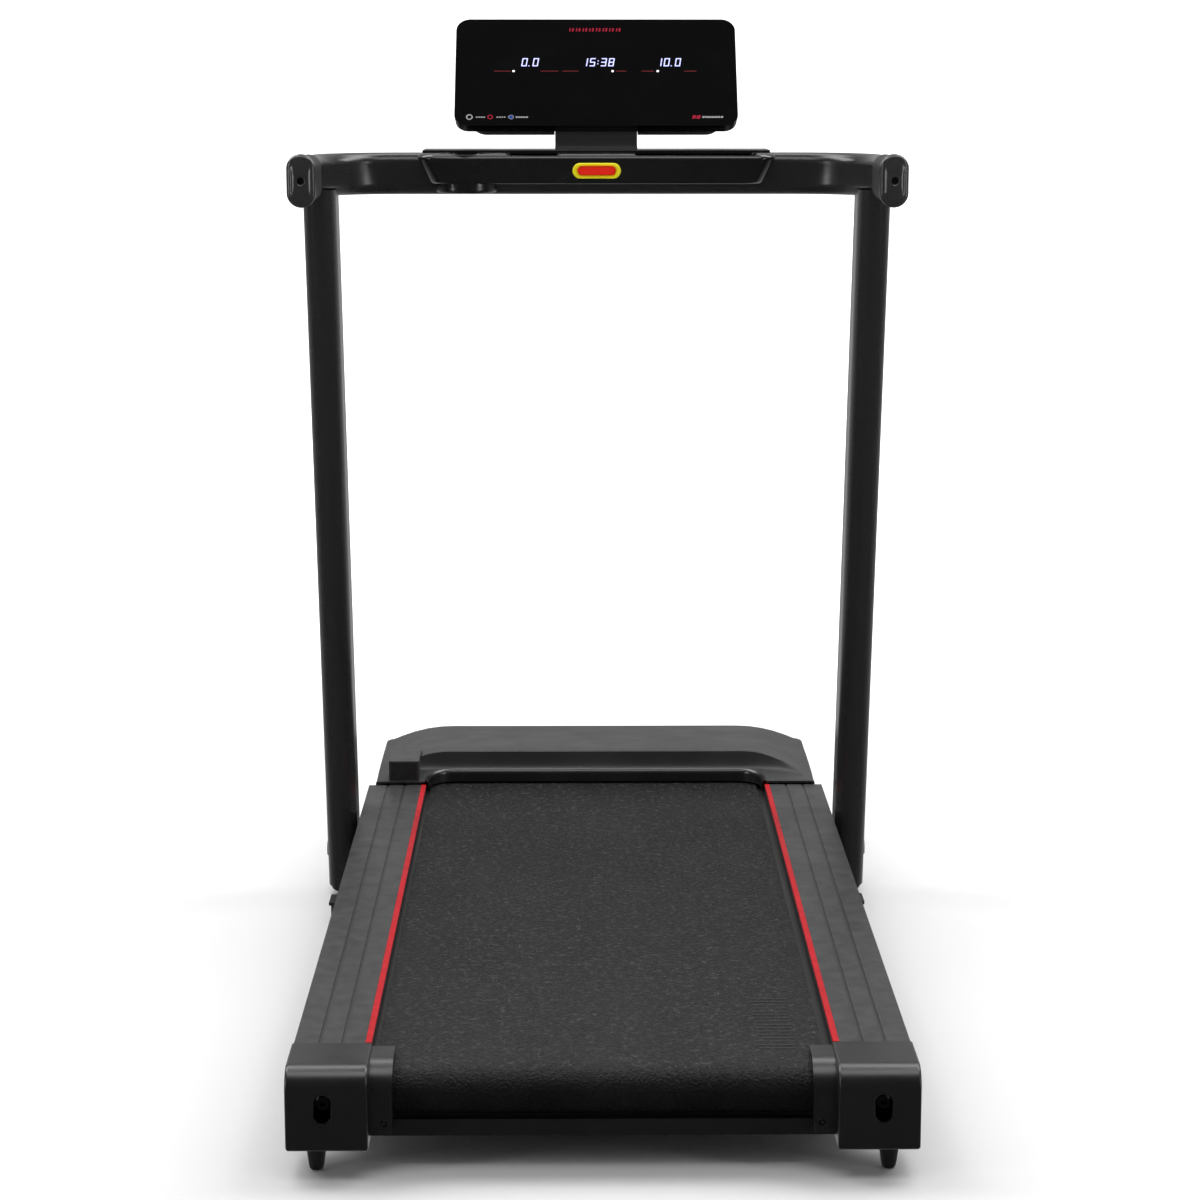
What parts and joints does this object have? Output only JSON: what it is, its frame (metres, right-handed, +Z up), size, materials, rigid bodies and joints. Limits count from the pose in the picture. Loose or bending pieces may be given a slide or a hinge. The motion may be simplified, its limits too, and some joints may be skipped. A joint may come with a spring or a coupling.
{
  "type": "treadmill",
  "caption": "Folding home treadmill: belt deck with foot rails and motor hood, two leaning uprights, U-shaped handlebar with tray, stop button and tilting console.",
  "frame": {"origin": "on the floor, below the centre of the overall box", "axes": "+X to the user's right, +Y forward from the user to the motor hood, +Z up"},
  "size_m": [0.724, 1.37, 1.1411],
  "materials": {
    "frame_steel": "satin powder coat",
    "upright_steel": "satin black powder coat",
    "zinc_steel": "zinc plated",
    "black_bolt": "black oxide",
    "board": "phenolic faced fibreboard",
    "rubber": "matt rubber",
    "belt": "coarse grained PVC belt",
    "rail_plastic": "fine textured dark grey",
    "accent": "satin red",
    "cap_plastic": "fine textured black",
    "hood_plastic": "fine textured mid grey",
    "block_plastic": "fine textured mid grey",
    "window": "smoked window",
    "pan_plastic": "textured black",
    "motor": "grey enamel",
    "cast": "turned iron",
    "board_green": "solder mask",
    "bronze": "sintered bronze",
    "grip": "soft foam grip",
    "tray_plastic": "satin black",
    "yellow": "satin yellow",
    "stop_red": "satin red",
    "switch_red": "gloss red",
    "neck_plastic": "satin dark grey",
    "glass": "black mirror-smooth face",
    "console_plastic": "textured dark grey"
  },
  "bodies": {
    "deck": {"side_tubes": "frame_steel", "cross_tubes": "frame_steel", "rear_cross_tube": "frame_steel", "front_support": "frame_steel", "tension_brackets": "frame_steel", "pivot_brackets": "frame_steel", "pivot_bolts": "zinc_steel", "deck_board": "board", "deck_cushions": "rubber", "running_belt": "belt", "left_rail": "rail_plastic", "right_rail": "rail_plastic", "accent_strips": "accent", "left_end_cap": "cap_plastic", "right_end_cap": "cap_plastic", "roller_guards": "cap_plastic", "tension_bolts": "black_bolt", "rear_feet": "rubber", "front_feet": "rubber", "rear_axle": "zinc_steel", "front_axle": "zinc_steel", "motor_hood": "hood_plastic", "hood_block": "block_plastic", "hood_window": "window", "belly_pan": "pan_plastic", "drive_motor": "motor", "motor_mount": "frame_steel", "drive_belt": "rubber", "motor_controller": "board_green", "power_inlet": "cap_plastic", "wheel_brackets": "frame_steel"},
    "mast": {"left_upright": "upright_steel", "right_upright": "upright_steel", "upright_bushes": "bronze", "upright_plugs": "cap_plastic", "handlebar": "upright_steel", "grip_sleeves": "grip", "grip_caps": "cap_plastic", "grip_screws": "black_bolt", "saddle_bolts": "black_bolt", "tray": "tray_plastic", "stop_ring": "yellow", "console_neck": "neck_plastic", "hinge_pin": "zinc_steel", "mast_cable": "rubber"},
    "console": {"console_glass": "glass", "console_rim": "tray_plastic", "console_back": "console_plastic", "display_board": "board_green"},
    "stop": {"stop_button": "stop_red"},
    "switch_rocker": {"power_switch": "switch_red"},
    "breaker": {"breaker_button": "cap_plastic"},
    "rear_drum": {"rear_roller": "zinc_steel", "rear_bearings": "zinc_steel"},
    "front_drum": {"front_roller": "zinc_steel", "front_bearings": "zinc_steel", "driven_pulley": "cast"},
    "rotor": {"motor_shaft": "zinc_steel", "flywheel_fan": "cast"},
    "wheels": {"transport_wheels": "rubber"}
  },
  "joints": [
    {"name": "upright_fold", "type": "hinge", "parent": "deck", "child": "mast", "pos_m": [0, 0.317, 0.06], "axis": [1, 0, 0], "range_deg": [0, 72]},
    {"name": "console_tilt", "type": "hinge", "parent": "mast", "child": "console", "pos_m": [0, 0.28579, 1.00818], "axis": [1, 0, 0], "range_deg": [-20, 20]},
    {"name": "stop_press", "type": "slide", "parent": "mast", "child": "stop", "axis": [0, 1, 0], "range_m": [0, 0.003], "stiffness_N_per_m": 600},
    {"name": "power_rock", "type": "hinge", "parent": "deck", "child": "switch_rocker", "pos_m": [-0.11, 0.676, 0.072], "axis": [1, 0, 0], "range_deg": [0, 14]},
    {"name": "breaker_press", "type": "slide", "parent": "deck", "child": "breaker", "axis": [0, -1, 0], "range_m": [0, 0.003], "stiffness_N_per_m": 400},
    {"name": "front_roller_spin", "type": "hinge", "parent": "deck", "child": "front_drum", "pos_m": [0, 0.5, 0.079], "axis": [1, 0, 0], "continuous": true},
    {"name": "rear_roller_spin", "type": "hinge", "parent": "deck", "child": "rear_drum", "pos_m": [0, -0.633, 0.079], "axis": [1, 0, 0], "continuous": true},
    {"name": "rotor_spin", "type": "hinge", "parent": "deck", "child": "rotor", "pos_m": [0, 0.605, 0.092], "axis": [1, 0, 0], "continuous": true},
    {"name": "wheel_spin", "type": "hinge", "parent": "deck", "child": "wheels", "pos_m": [0, 0.64, 0.027], "axis": [1, 0, 0], "continuous": true}
  ],
  "couplings": [
    {"joint": "rear_roller_spin", "follows": "front_roller_spin", "ratio": 1},
    {"joint": "rotor_spin", "follows": "front_roller_spin", "ratio": 2.6538}
  ]
}
